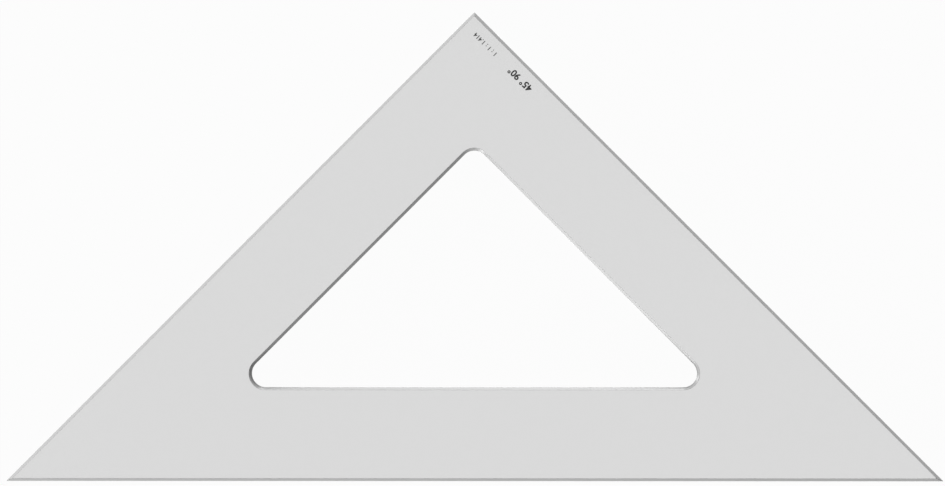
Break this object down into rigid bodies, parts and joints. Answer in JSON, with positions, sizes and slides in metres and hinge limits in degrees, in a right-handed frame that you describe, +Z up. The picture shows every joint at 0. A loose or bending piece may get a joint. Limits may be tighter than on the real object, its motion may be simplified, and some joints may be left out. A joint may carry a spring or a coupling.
{
  "type": "45 degree set square",
  "caption": "Flat 45 degree drafting set square of clear grey acrylic, with a triangular finger window and bevelled upper edges.",
  "frame": {"origin": "on the underside, below the middle of the plate's bounding box", "axes": "+Z up out of the upper face, +X along the hypotenuse, +Y from the hypotenuse towards the right angle"},
  "size_m": [0.42, 0.21, 0.003],
  "materials": {
    "acrylic": "polished",
    "ink": "matte"
  },
  "bodies": {
    "root": {"acrylic_plate": "acrylic"}
  },
  "joints": []
}
